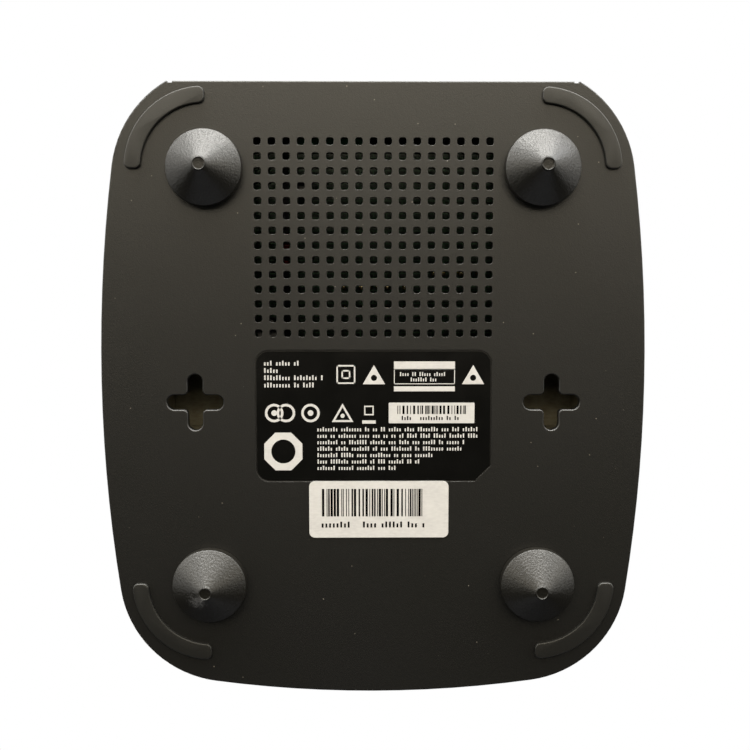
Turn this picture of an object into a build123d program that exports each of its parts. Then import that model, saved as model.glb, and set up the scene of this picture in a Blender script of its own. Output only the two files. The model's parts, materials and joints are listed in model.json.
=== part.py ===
from build123d import *
import math
import os

# A mains-powered network audio streamer in a low squircle case, standing on four cone feet.
# Millimetres. +Z up, -Y is the front, +Y is the rear with the connector bay.
# The origin is under the middle of the case, at the level of the feet's tips.

# ---------------------------------------------------------------- driving dimensions: case
half_width = 76.1            # widest point of the plan, from the centre line
half_depth = 89.4            # of the whole squircle, before the rear is cut flat
side_radius = 433.0          # bow of the long sides
end_radius = 332.0           # bow of the front
corner_radius = 31.2
plan_centre_y = 3.5          # centre of the squircle
rear_y = 85.9                # flat rear cut
front_y = plan_centre_y - half_depth
foot_height = 10.0           # tips of the feet to the underside
base_z = foot_height
floor_thickness = 2.4
floor_z = base_z + floor_thickness
seam_z = 15.0                # top of the base cover's wall
case_top_z = 46.0
seam_gap = 0.3
shell_step = 0.4             # the shell stands this far inside the base cover's outline
shell_wall = 2.2
top_thickness = 2.4
ceiling_z = case_top_z - top_thickness
shell_draft = 2.0            # degrees
top_edge_radius = 5.0
base_edge_radius = 0.4
base_wall = 3.9
lip_clearance = 0.15
lip_height = 2.5
lip_gap_x = 60.0             # the lip is left out across the connector bay
lip_gap_y = 60.0
clearance = 0.1

# connector bay
bay_half_width = 55.2
cheek_thickness = 2.0
panel_y = 73.2               # inner face of the rear panel
panel_thickness = 2.0
panel_outer_y = panel_y + panel_thickness
groove_depth = 1.0
groove_z = 13.0
sill_reach = 2.0             # bay floor and cheeks start this far inside the panel
notch_x = 55.6               # small notches where the rear edge ends
notch_width = 1.3
notch_depth = 0.5

# underside
vent_columns = 17
vent_rows = 14
vent_pitch_x = 4.0
vent_pitch_y = 4.05
vent_size = 2.1
vent_corner = 0.7
vent_centre_y = 43.4
keyhole_x = 50.0
keyhole_y = -2.3
keyhole_length = 15.8
keyhole_width = 4.2
keyhole_corner = 1.2
keyhole_chamfer = 0.25
foot_x = 46.3
foot_rear_y = 62.3
foot_front_y = -54.0
foot_radius = 10.4
foot_wall = 2.6
foot_shoulder_radius = 0.3
foot_tip_radius = 1.8
foot_dimple_radius = 1.5
foot_dimple_depth = 0.22
disc_thickness = 0.4
disc_radius = 8.8
pad_radius = 19.9            # centre line of the corner pads, about the foot's centre
pad_width = 4.5
pad_thickness = 1.0
pad_corner = 1.6
pad_edge_radius = 0.3
label_width = 65.6
label_height = 36.4
label_y = -6.2
label_corner = 3.5
label_clip = 4.2             # legs of the clipped corner
label_recess = 0.25
label_margin = 0.4
label_thickness = 0.2
sticker_size = (39.4, 16.2)
sticker_centre = (-1.5, -32.75)
batch_size = (24.1, 5.8)
batch_centre = (-16.3, -5.3)

# case screws, hidden under the feet
screw_offset = (5.3, 4.0)    # outward in x and towards the middle in y, from a foot's centre
screw_shank_radius = 1.45
screw_head_radius = 2.8
screw_head_height = 1.2
counterbore_radius = 3.2
counterbore_depth = 1.4
boss_radius = 4.0
boss_screw_depth = 12.0

# boards
board_thickness = 1.6
board_z = 18.4
board_top = board_z + board_thickness
chip_top = board_top + 1.2
sink_z = chip_top + 0.5      # underside of the heatsink, on the thermal pad
amp_y = 38.0
board_rear_y = 69.8
board_step_y = 12.0          # in front of this the main board is narrower
board_gap_x = 25.5           # between the main board and the power board
board_half_gap = 1.5
standoff_radius = 3.0
board_screw_radius = 1.2

# rear connectors: x of each centre
inlet_x = 37.5
inlet_z = 27.5
pole_spacing = 8.6           # of the mains inlet's two pins
speaker_x = 13.0
speaker_pitch = 5.08
phono_x = (-4.0, -15.0)
optical_x = -26.0
shutter_y = panel_outer_y - 0.8    # the shutter's pivot
shutter_z = 27.7
network_x = -39.5
lamp_offset = 5.9            # of the network socket's lamps from its centre
rear_button_x = -51.5
phono_z = (26.0, 37.4)
phono_radius = 4.15
phono_root_radius = 3.95     # of the plated shell where it stands in its housing
phono_length = 7.5
phono_collar_radius = 5.0
phono_bore_radius = 3.6
reset_hole_radius = 1.0
pair_radius = 2.5
reset_z = 24.0
pair_z = 33.5
riser_y = 64.6               # face of the board that carries the rear switches
rear_key_y = 69.3            # inner ends of the two rear keys

# front
front_board_y = front_y + 11.8           # rear face of the upright front board
front_board_thickness = 1.4
front_board_half_width = 16.0
front_board_z = 14.0
front_board_top_z = 40.0
post_top_z = 24.0                        # slotted posts that hold it
front_button_z = 30.0
front_button_radius = 4.5
light_pipe_x = 12.0
light_pipe_radius = 1.2


# ---------------------------------------------------------------- small helpers
def block(x0, x1, y0, y1, z0, z1):
    return Pos((x0 + x1) / 2, (y0 + y1) / 2, (z0 + z1) / 2) * Box(x1 - x0, y1 - y0, z1 - z0)


def rod_z(radius, x, y, z0, z1):
    return Pos(x, y, (z0 + z1) / 2) * Cylinder(radius, z1 - z0)


def rod_x(radius, x0, x1, y, z):
    return Pos((x0 + x1) / 2, y, z) * Rot(0, 90, 0) * Cylinder(radius, x1 - x0)


def rod_y(radius, x, z, y0, y1):
    return Pos(x, (y0 + y1) / 2, z) * Rot(90, 0, 0) * Cylinder(radius, y1 - y0)


def group(solids):
    return Compound(children=list(solids))


def squircle(inset=0.0):
    """The whole rounded plan: four large discs' common area, with its corners rounded."""
    side_disc = Circle(side_radius - inset)
    end_disc = Circle(end_radius - inset)
    plan = Pos(side_radius - half_width, 0) * side_disc
    plan &= Pos(half_width - side_radius, 0) * side_disc
    plan &= Pos(0, end_radius - half_depth) * end_disc
    plan &= Pos(0, half_depth - end_radius) * end_disc
    plan = fillet(plan.vertices(), corner_radius - inset)
    return Pos(0, plan_centre_y) * plan


def plan_with_rear(inset=0.0):
    """The squircle with its rear cut flat."""
    reach = 200.0
    beyond = Pos(0, rear_y - inset + reach / 2) * Rectangle(reach, reach)
    return squircle(inset) - beyond


def prism(sketch, z0, z1):
    return extrude(Pos(0, 0, z0) * sketch, z1 - z0)


def feet_places():
    """(name, x, y, sign of x, sign of y) of the four feet."""
    for row, y, sy in (("front", foot_front_y, -1), ("rear", foot_rear_y, 1)):
        for side, sx in (("left", -1), ("right", 1)):
            yield f"{row}_{side}", sx * foot_x, y, sx, sy


def screw_places():
    for _, x, y, sx, sy in feet_places():
        yield x + sx * screw_offset[0], y - sy * screw_offset[1]


main_board_holes = ((-50.0, 20.0), (-30.0, -44.0), (18.0, -44.0), (20.0, 58.0))
power_board_holes = ((30.0, 18.0), (57.0, 18.0), (57.0, 50.0))


# ---------------------------------------------------------------- case
def keyhole_outline():
    slot = SlotOverall(keyhole_length, keyhole_width)
    cross = slot + Rot(0, 0, 90) * slot
    inner = cross.vertices().sort_by(lambda v: v.X ** 2 + v.Y ** 2)[:4]
    return fillet(inner, keyhole_corner)


def vent_grid():
    hole = RectangleRounded(vent_size, vent_size, vent_corner)
    places = GridLocations(vent_pitch_x, vent_pitch_y, vent_columns, vent_rows)
    return [Pos(0, vent_centre_y) * place * hole for place in places]


def label_outline(width, height, corner, clipped=0.0):
    """A label with rounded corners; one corner is clipped at 45 degrees, where it was lifted."""
    outline = RectangleRounded(width, height, corner)
    if clipped:
        corner_cut = Pos(-width / 2, -height / 2) * Rot(0, 0, 45) * Rectangle(clipped * 2 ** 0.5, clipped * 3)
        outline -= corner_cut
    return outline


def base_cover():
    tray = prism(plan_with_rear(), base_z, seam_z)
    tray = fillet(tray.faces().sort_by(Axis.Z)[0].edges(), base_edge_radius)
    hollow = plan_with_rear(base_wall)
    tray -= prism(hollow, floor_z, seam_z + 1)

    # locating lip that stands inside the shell, left out across the connector bay
    lip = plan_with_rear(shell_step + shell_wall + lip_clearance) - hollow
    lip = prism(lip, seam_z, seam_z + lip_height)
    lip -= block(-lip_gap_x, lip_gap_x, lip_gap_y, rear_y, seam_z, seam_z + lip_height)
    tray += lip

    # floor of the connector bay, with the groove that the rear panel stands in
    tray += block(-bay_half_width, bay_half_width, panel_y - sill_reach, rear_y - 2, floor_z, seam_z)
    groove_x = bay_half_width + groove_depth
    tray -= block(-groove_x, groove_x, panel_y - clearance, panel_outer_y + clearance, groove_z, seam_z + 5)

    # notches at the two ends of the rear edge
    for side in (-1, 1):
        x = side * notch_x
        tray -= block(x - notch_width / 2, x + notch_width / 2, rear_y - notch_depth, rear_y + 1, base_z, seam_z)

    # board standoffs
    for x, y in main_board_holes + power_board_holes:
        tray += rod_z(standoff_radius, x, y, floor_z, board_z)
        tray -= rod_z(board_screw_radius, x, y, board_z - 5, board_z)

    # slotted posts for the front board
    slot_x = front_board_half_width + clearance
    slot_y = front_board_y - front_board_thickness / 2
    for side in (-1, 1):
        x = side * (front_board_half_width - 1)
        tray += block(x - 2.5, x + 2.5, slot_y - 2.9, slot_y + 2.9, floor_z, post_top_z)
    board_slot = front_board_thickness / 2 + clearance / 2
    tray -= block(-slot_x, slot_x, slot_y - board_slot, slot_y + board_slot, front_board_z - clearance, post_top_z)

    # screw holes with counterbores
    for x, y in screw_places():
        tray -= rod_z(screw_shank_radius + 0.2, x, y, base_z, floor_z)
        tray -= rod_z(counterbore_radius, x, y, base_z, base_z + counterbore_depth)

    # keyholes, recess and vents
    for side in (-1, 1):
        tray -= prism(Pos(side * keyhole_x, keyhole_y) * keyhole_outline(), base_z - 1, floor_z + 1)
    cross_edges = [
        e for e in tray.edges()
        if abs(e.center().Z - base_z) < 0.001
        and abs(abs(e.center().X) - keyhole_x) < keyhole_length
        and abs(e.center().Y - keyhole_y) < keyhole_length
    ]
    tray = chamfer(cross_edges, keyhole_chamfer)
    recess_size = (label_width + 2 * label_margin, label_height + 2 * label_margin)
    recess = label_outline(*recess_size, label_corner + label_margin, label_clip + label_margin)
    tray -= prism(Pos(0, label_y) * recess, base_z - 1, base_z + label_recess)
    tray -= extrude(Pos(0, 0, base_z - 1) * Sketch(children=vent_grid()), floor_thickness + 1.5)
    return tray


def top_shell():
    height = case_top_z - seam_z - seam_gap
    shell_z = seam_z + seam_gap
    outer = extrude(Pos(0, 0, shell_z) * squircle(shell_step), height, taper=shell_draft)
    outer = fillet(outer.faces().sort_by(Axis.Z)[-1].edges(), top_edge_radius)
    beyond = block(-100, 100, rear_y, rear_y + 100, 0, 100)
    outer -= beyond

    cavity = extrude(
        Pos(0, 0, shell_z) * squircle(shell_step + shell_wall), ceiling_z - shell_z, taper=shell_draft
    )
    cavity = fillet(cavity.faces().sort_by(Axis.Z)[-1].edges(), top_edge_radius - shell_wall)
    cavity -= block(-100, 100, rear_y - shell_wall, rear_y + 100, 0, 100)
    shell = outer - cavity

    # the bay is open to the rear between two cheeks, which hold the rear panel's ends in grooves
    cheek_x = bay_half_width + cheek_thickness
    bay_y = panel_y - sill_reach
    shell -= block(-bay_half_width, bay_half_width, bay_y, rear_y + 1, shell_z, ceiling_z)
    for side in (-1, 1):
        x0, x1 = sorted((side * bay_half_width, side * cheek_x))
        shell += block(x0, x1, bay_y, rear_y, shell_z, ceiling_z) & outer
    groove_x = bay_half_width + groove_depth
    shell -= block(-groove_x, groove_x, panel_y - clearance, panel_outer_y + clearance, shell_z, ceiling_z)

    # screw bosses
    for x, y in screw_places():
        shell += rod_z(boss_radius, x, y, floor_z + 0.2, ceiling_z)
        shell -= rod_z(screw_shank_radius, x, y, floor_z, floor_z + boss_screw_depth)

    # front openings
    y0, y1 = front_y - 5, front_y + 7
    shell -= rod_y(front_button_radius + 0.2, 0, front_button_z, y0, y1)
    shell -= rod_y(light_pipe_radius + 0.05, light_pipe_x, front_button_z, y0, y1)
    return shell


def rear_panel():
    x = bay_half_width + groove_depth - clearance
    panel = block(-x, x, panel_y, panel_outer_y, groove_z + clearance, ceiling_z - clearance)
    y0, y1 = panel_y - 1, panel_outer_y + 1
    # (centre, half width, bottom, top) of the square-cornered socket openings
    sill = board_top - clearance
    openings = (
        (inlet_x, 10.1, inlet_z - 6.6, inlet_z + 6.6),
        (speaker_x, 11.1, sill, 29.7),
        (optical_x, 5.0, sill, 30.6),
        (network_x, 8.1, sill, 34.0),
    )
    for centre, half, z0, z1 in openings:
        panel -= block(centre - half, centre + half, y0, y1, z0, z1)
    for x in phono_x:
        for z in phono_z:
            panel -= rod_y(phono_collar_radius + clearance, x, z, y0, y1)
    panel -= rod_y(reset_hole_radius, rear_button_x, reset_z, y0, y1)
    panel -= rod_y(pair_radius + 0.2, rear_button_x, pair_z, y0, y1)
    # two rows of square vent holes over the phono, speaker and inlet sockets
    for column in range(13):
        for z in (36.8, 40.8):
            x = 2 + 4 * column
            panel -= block(x - 1, x + 1, y0, y1, z - 1, z + 1)
    return panel


# ---------------------------------------------------------------- underside pieces
def foot(x, y):
    """A turned cone with a short upright wall and a small dished tip, base up."""
    wall_top = base_z - disc_thickness
    cone_start = wall_top - foot_wall
    with BuildPart() as made:
        with BuildSketch(Plane.XZ):
            with BuildLine():
                Polyline(
                    (0, wall_top),
                    (foot_radius, wall_top),
                    (foot_radius, cone_start),
                    (foot_tip_radius, 0),
                    (foot_dimple_radius, 0),
                    (foot_dimple_radius, foot_dimple_depth),
                    (0, foot_dimple_depth),
                    (0, wall_top),
                )
            make_face()
        revolve(axis=Axis.Z)
        rims = made.edges().filter_by(GeomType.CIRCLE)
        wide = [e for e in rims if abs(e.radius - foot_radius) < 0.01 and e.center().Z < wall_top - 0.1]
        fillet(wide, foot_shoulder_radius)
    return Pos(x, y, 0) * made.part


def corner_pad(x, y, sx, sy):
    """A quarter-ring pad around a foot, opening towards the case's corner."""
    inner = pad_radius - pad_width / 2
    outer = pad_radius + pad_width / 2
    quarter = Pos(sx * outer, sy * outer) * Rectangle(2 * outer, 2 * outer)
    strip = (Circle(outer) - Circle(inner)) & quarter
    strip = fillet(strip.vertices(), pad_corner)
    pad = prism(Pos(x, y) * strip, base_z - pad_thickness, base_z)
    return fillet(pad.faces().sort_by(Axis.Z)[0].edges(), pad_edge_radius)


def foot_adhesive_discs():
    return group(rod_z(disc_radius, x, y, base_z - disc_thickness, base_z) for _, x, y, _, _ in feet_places())


def cross_slot(x, y, z, length):
    """The cross cut into a screw's head, half above and half below the given height."""
    return Pos(x, y, z) * (Box(length, 0.7, 1.2) + Box(0.7, length, 1.2))


def case_screws():
    screws = []
    for x, y in screw_places():
        seat = base_z + counterbore_depth
        head = rod_z(screw_head_radius, x, y, seat - screw_head_height, seat)
        head -= cross_slot(x, y, seat - screw_head_height, 3.2)
        shank = rod_z(screw_shank_radius, x, y, seat, floor_z + boss_screw_depth - 1)
        screws.append(head + shank)
    return group(screws)


def rating_label():
    outline = label_outline(label_width, label_height, label_corner, label_clip)
    top = base_z + label_recess
    return prism(Pos(0, label_y) * outline, top - label_thickness, top)


def serial_label():
    outline = Pos(*sticker_centre) * RectangleRounded(*sticker_size, 1.6)
    return prism(outline, base_z - 0.12, base_z)


def batch_label():
    top = base_z + label_recess - label_thickness
    outline = Pos(*batch_centre) * RectangleRounded(*batch_size, 0.3)
    return prism(outline, top - 0.1, top)


def keyhole_cap(side):
    """A closed box over a keyhole, so that a wall screw can't reach live parts."""
    x = side * keyhole_x
    half, wall, top = 10.2, 1.5, 27.4
    cap = block(x - half, x + half, keyhole_y - half, keyhole_y + half, floor_z, top)
    cap = fillet(cap.edges().filter_by(Axis.Z), 2.0)
    room = half - wall
    return cap - block(x - room, x + room, keyhole_y - room, keyhole_y + room, floor_z, top - wall)


# ---------------------------------------------------------------- boards
def drilled(board, holes):
    """A board with its corners rounded, its screw holes, and clearance around the case's bosses."""
    board = fillet(board.edges().filter_by(Axis.Z), 1.5)
    for x, y in holes:
        board -= rod_z(board_screw_radius, x, y, board_z, board_top)
    for x, y in screw_places():
        board -= rod_z(boss_radius + 0.6, x, y, board_z, board_top)
    return board


def main_board():
    right = board_gap_x - board_half_gap
    rear = block(-57, right, board_step_y, board_rear_y, board_z, board_top)
    front = block(-36, right, -50, board_step_y, board_z, board_top)
    return drilled(rear + front, main_board_holes)


def power_board():
    board = block(board_gap_x + board_half_gap, 61, board_step_y, board_rear_y, board_z, board_top)
    return drilled(board, power_board_holes)


def board_screws():
    screws = []
    for x, y in main_board_holes + power_board_holes:
        head_top = board_top + 1.2
        head = rod_z(2.2, x, y, board_top, head_top)
        head -= cross_slot(x, y, head_top, 2.8)
        screws.append(head + rod_z(board_screw_radius, x, y, board_z - 4.5, board_top))
    return group(screws)


def solder_joints():
    """Domes of solder on the underside of the boards, where leaded parts come through."""
    rows = [(-9 + 2.5 * i, y) for i in range(8) for y in (24.0, 30.0)]
    rows += [(-30 + 2.54 * i, 34.0) for i in range(6)]
    rows += [(30 + 5.0 * i, y) for i in range(4) for y in (30.0, 42.0)]
    radius = 0.9
    dome = Sphere(radius) - Pos(0, 0, radius) * Box(2 * radius, 2 * radius, 2 * radius)
    return group(Pos(x, y, board_z) * dome for x, y in rows)


def wifi_module():
    can = block(-32, -8, -28, 2, board_top, board_top + 3.2)
    can = fillet(can.edges().filter_by(Axis.Z), 1.0)
    return fillet(can.faces().sort_by(Axis.Z)[-1].edges(), 0.4)


def amp_chip():
    return block(-5, 5, amp_y - 5, amp_y + 5, board_top, chip_top)


def thermal_pad():
    return block(-5, 5, amp_y - 5, amp_y + 5, chip_top, sink_z)


def heatsink():
    """A finned block on the thermal pad, standing on two pegs."""
    fins, pitch, fin_width = 9, 4.05, 1.2
    plate_top = sink_z + 2.5
    y0, y1 = amp_y - 18, amp_y + 18
    sink = block(-17, 17, y0, y1, sink_z, plate_top)
    for i in range(fins):
        x = pitch * (i - (fins - 1) / 2)
        sink += block(x - fin_width / 2, x + fin_width / 2, y0, y1, plate_top, sink_z + 14)
    for x in (-14.0, 14.0):
        sink += rod_z(1.5, x, amp_y, board_top, sink_z)
    return sink


def output_inductors():
    """Drum-core inductors in square shields beside the amplifier."""
    x, half, top = -26.0, 5.0, board_top + 6.5
    coils = []
    for y in (24.0, 36.0, 48.0):
        coil = block(x - half, x + half, y - half, y + half, board_top, top)
        coil = fillet(coil.edges().filter_by(Axis.Z), 1.6)
        coil -= rod_z(3.4, x, y, top - 1.0, top)
        coils.append(coil)
    return group(coils)


def electrolytic(x, y, radius, z0, height):
    can = rod_z(radius, x, y, z0, z0 + height)
    return fillet(can.edges().sort_by(Axis.Z)[-1:], 0.6)


def output_capacitors():
    return group(electrolytic(14.0, y, 5.0, board_top, 16.0) for y in (-22.0, -9.0, 4.0))


def transformer():
    """A potted core with a winding window on both sides."""
    x0, x1, y0, y1 = 36, 58, 22, 47
    core = block(x0, x1, y0, y1, board_top, board_top + 19)
    window = 4                   # depth of the winding window on each side
    for x in (x0, x1 - window):
        core -= block(x, x + window, y0 + 5, y1 - 5, board_top + 4, board_top + 15)
    return fillet(core.edges().filter_by(Axis.Z), 0.5)


def bulk_capacitor():
    return electrolytic(34.0, 54.0, 5.0, board_top, 20.0)


def mains_fuse():
    """A cartridge fuse in two clips, across the board in front of the inlet."""
    x, y, z = 43.0, 15.4, board_top + 4.0
    fuse = Pos(x, y, z) * Rot(0, 90, 0) * Cylinder(2.6, 20)
    for clip in (x - 7.5, x + 7.5):
        fuse += block(clip - 1.1, clip + 1.1, y - 2.2, y + 2.2, board_top, z)
    return fuse


def link_wires():
    """Four insulated wires that arch over the gap between the two boards."""
    bend, thickness = 5.0, 0.8   # radii
    wires = []
    for i in range(4):
        y = 37 + 2.6 * i
        ring = Pos(board_gap_x, y, board_top) * Rot(90, 0, 0) * Torus(bend, thickness)
        above = block(board_gap_x - 10, board_gap_x + 10, y - 2, y + 2, board_top, board_top + 8)
        wires.append(ring & above)
    return group(wires)


# ---------------------------------------------------------------- rear connectors
def mains_inlet():
    """Two-pole figure-of-eight inlet: a flange outside the panel and a socket body behind it."""
    flange_y, flange = panel_outer_y, 2.0
    body = block(inlet_x - 12, inlet_x + 12, flange_y, flange_y + flange, inlet_z - 8, inlet_z + 8)
    body = fillet(body.edges().filter_by(Axis.Y), 2.0)
    body += block(inlet_x - 10, inlet_x + 10, 61.5, flange_y, inlet_z - 6.5, inlet_z + 6.5)
    mouth = Pos(inlet_x, flange_y + flange, inlet_z) * Rot(90, 0, 0)
    lobe = pole_spacing / 2
    lobes = Pos(-lobe, 0) * Circle(lobe) + Pos(lobe, 0) * Circle(lobe) + Rectangle(pole_spacing, 6.4)
    return body - extrude(mouth * lobes, 12.0)


def inlet_pins():
    pins = []
    for side in (-1, 1):
        x = inlet_x + side * pole_spacing / 2
        pin = rod_y(1.2, x, inlet_z, panel_outer_y - 10.0, panel_outer_y - 1.0)
        pins.append(fillet(pin.edges().sort_by(Axis.Y)[-1:], 0.8))
    return group(pins)


def speaker_ways():
    """x of each of the speaker header's four ways."""
    return [speaker_x + speaker_pitch * (i - 1.5) for i in range(4)]


def speaker_header():
    """Open-fronted header for a four-way plug-in screw terminal, keyed along its top."""
    z0, z1 = board_top, 29.3
    back, mouth_y = 66.5, panel_outer_y + 1
    body = block(speaker_x - 10.7, speaker_x + 10.7, back - 3, panel_outer_y + 0.6, z0, z1)
    body -= block(speaker_x - 9.7, speaker_x + 9.7, back, mouth_y, z0 + 1.4, z1 - 1.2)
    for x in speaker_ways():
        body -= block(x - 1.2, x + 1.2, back, mouth_y, z1 - 1.3, z1 + 1)
    return body


def speaker_pins():
    return group(block(x - 0.45, x + 0.45, 66.5, 74.0, 24.2, 25.1) for x in speaker_ways())


def phono_blocks():
    """Moulded housings of the two stacked phono sockets."""
    blocks = []
    for x in phono_x:
        body = block(x - 4.9, x + 4.9, 60.0, panel_y, board_top, 43.0)
        for z in phono_z:
            body -= rod_y(2.3, x, z, 64.0, panel_y)
            body += rod_y(phono_collar_radius, x, z, panel_y, panel_outer_y)
            body -= rod_y(phono_root_radius + 0.05, x, z, panel_y - 2, panel_outer_y)
        blocks.append(body)
    return group(blocks)


def phono_shells():
    """Plated outer contacts, standing out from the panel into the bay."""
    shells = []
    for x in phono_x:
        for z in phono_z:
            ring = rod_y(phono_root_radius, x, z, panel_y - 2, panel_outer_y)
            ring += rod_y(phono_radius, x, z, panel_outer_y, panel_outer_y + phono_length)
            ring -= rod_y(phono_bore_radius, x, z, panel_y - 3, panel_outer_y + phono_length + 1)
            shells.append(ring)
    return group(shells)


def phono_insert(x, z):
    """The coloured insulator inside one phono contact, with the bore for the plug's pin."""
    core = rod_y(phono_bore_radius - 0.05, x, z, panel_y - 2, panel_outer_y + phono_length - 1.5)
    core -= rod_y(1.65, x, z, panel_y, panel_outer_y + phono_length)
    return core


def optical_socket():
    """Housing of the optical socket, with a blind hole for the shutter's trunnion on each side."""
    x, z0, z1 = optical_x, board_top, 30.0
    mouth = 3.6                  # half width
    body = block(x - 4.85, x + 4.85, 62.0, panel_outer_y + 0.5, z0, z1)
    body -= block(x - mouth, x + mouth, 67.0, panel_outer_y + 1, z0 + 1.6, z1 - 1.4)
    for side in (-1, 1):
        body -= rod_x(0.55, x + side * mouth - 0.8, x + side * mouth + 0.8, shutter_y, shutter_z)
    return body


def optical_shutter():
    """The sprung door of the optical socket, hung on two short trunnions at its top."""
    x = optical_x
    door = block(x - 3.3, x + 3.3, shutter_y - 0.4, shutter_y + 0.4, board_top + 1.9, shutter_z)
    return door + rod_x(0.5, x - 4.0, x + 4.0, shutter_y, shutter_z)


def network_jack():
    """Shielded eight-way network socket, mouth to the rear, latch side up."""
    x, z0 = network_x, board_top
    body = block(x - 7.9, x + 7.9, 54.5, panel_outer_y + 0.6, z0, z0 + 13.5)
    # mouth in three steps, each (half width, bottom, top) above the board
    for half, low, high in ((5.9, 2.0, 8.8), (3.1, 8.8, 10.8), (1.7, 10.8, 12.0)):
        body -= block(x - half, x + half, 60.0, panel_outer_y + 1, z0 + low, z0 + high)
    for side in (-1, 1):
        body -= lamp_block(side, clearance / 2, panel_outer_y + 1)
    return body


def lamp_block(side, margin, y1):
    """One of the two lamps beside the latch, grown by a margin in x and z."""
    x = network_x + side * lamp_offset
    half_width = 1.25 + margin
    half_height = 0.95 + margin
    z = board_top + 11.3
    return block(x - half_width, x + half_width, panel_outer_y - 8, y1, z - half_height, z + half_height)


def network_contacts():
    """Eight gilt spring contacts that slope down into the mouth."""
    pitch = 1.02
    spring = Pos(network_x, 66.0, board_top + 2.95) * Rot(8, 0, 0) * Box(0.45, 10.0, 0.3)
    return group(Pos(pitch * (i - 3.5), 0, 0) * spring for i in range(8))


def network_lamps():
    """Link and activity light windows above the socket's mouth."""
    return group(lamp_block(side, 0.0, panel_outer_y + 0.5) for side in (-1, 1))


def button_board():
    """Small riser board behind the panel that carries the two rear switches."""
    return block(rear_button_x - 3.2, rear_button_x + 3.2, riser_y - 1.6, riser_y, board_top, 39.0)


def rear_switches():
    body_y = riser_y + 3.0
    switches = []
    for z in (reset_z, pair_z):
        body = block(rear_button_x - 3, rear_button_x + 3, riser_y, body_y, z - 3, z + 3)
        switches.append(body + rod_y(1.7, rear_button_x, z, body_y, body_y + 0.7))
    return group(switches)


def reset_plunger():
    """The recessed reset key: a headed pin behind its pinhole."""
    key = rod_y(1.6, rear_button_x, reset_z, rear_key_y, panel_y - 0.6)
    return fillet(key.edges().sort_by(Axis.Y)[-1:], 0.3)


def pair_button():
    """A round key with a collar behind the panel and a stem down to its switch."""
    cap_y = rear_key_y + 1.2
    cap = rod_y(pair_radius, rear_button_x, pair_z, cap_y, panel_outer_y + 0.9)
    cap = fillet(cap.edges().sort_by(Axis.Y)[-1:], 0.5)
    cap += rod_y(pair_radius + 0.8, rear_button_x, pair_z, cap_y + 1.0, panel_y - 0.3)
    return cap + rod_y(1.5, rear_button_x, pair_z, rear_key_y, cap_y)


# ---------------------------------------------------------------- front pieces
def front_board():
    half = front_board_half_width
    y0 = front_board_y - front_board_thickness
    return block(-half, half, y0, front_board_y, front_board_z, front_board_top_z)


def front_switch():
    y1 = front_board_y - front_board_thickness
    body = block(-3, 3, y1 - 3.5, y1, front_button_z - 3, front_button_z + 3)
    return body + rod_y(1.7, 0, front_button_z, y1 - 4.0, y1 - 3.5)


def standby_button():
    """The round front key, with a collar inside the shell and a stem to its switch."""
    collar_y = front_y + 3.6
    cap = rod_y(front_button_radius, 0, front_button_z, front_y + 0.3, collar_y)
    cap = fillet(cap.edges().sort_by(Axis.Y)[:1], 0.5)
    cap += rod_y(front_button_radius + 1.1, 0, front_button_z, collar_y, collar_y + 1.0)
    return cap + rod_y(1.5, 0, front_button_z, collar_y + 1.0, collar_y + 1.9)


def status_light_pipe():
    pipe = rod_y(light_pipe_radius, light_pipe_x, front_button_z, front_y + 1.0, front_y + 8.6)
    return fillet(pipe.edges().sort_by(Axis.Y)[:1], 0.4)


def status_lamp():
    x, z = light_pipe_x, front_button_z
    y1 = front_board_y - front_board_thickness
    return block(x - 1.5, x + 1.5, y1 - 1.2, y1, z - 1, z + 1)


def front_ribbon():
    """Flat cable from the front board back to the main board, in one easy bend each end."""
    width, thickness = 9.0, 0.4
    with BuildPart() as made:
        with BuildLine(Plane.YZ) as route:
            FilletPolyline(
                (front_board_y, 17.0), (front_board_y + 8, 17.0), (-58.0, 24.0), (-46.0, 24.0), (-46.0, board_top),
                radius=3.0,
            )
        with BuildSketch(Plane(origin=route.line @ 0, z_dir=route.line % 0, x_dir=(1, 0, 0))):
            Rectangle(width, thickness)
        sweep()
    return made.part


# ---------------------------------------------------------------- aerials
def aerial(side):
    x = side * 46.0
    board = block(x - 15, x + 15, -34, -24, ceiling_z - 1.0, ceiling_z)
    return fillet(board.edges().filter_by(Axis.Z), 1.0)


def aerial_lead(side):
    """Thin coaxial lead from the wireless module up to one aerial."""
    start_x = -22.0 if side < 0 else -14.0
    top = ceiling_z - 1.0
    route = [
        (start_x, -28.6, board_top + 2.0),
        (start_x, -33.6, board_top + 4.0),
        (start_x + side * 8.0, -38.0, board_top + 11.0),
        (side * 38.0, -36.5, top - 5.0),
        (side * 46.0, -31.0, top - 1.6),
        (side * 46.0, -27.0, top - 0.7),
    ]
    with BuildPart() as made:
        with BuildLine() as line:
            FilletPolyline(*route, radius=[3.5, 3.5, 3.5, 3.0])
        with BuildSketch(Plane(origin=line.line @ 0, z_dir=line.line % 0)):
            Circle(0.6)
        sweep()
    return made.part


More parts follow.
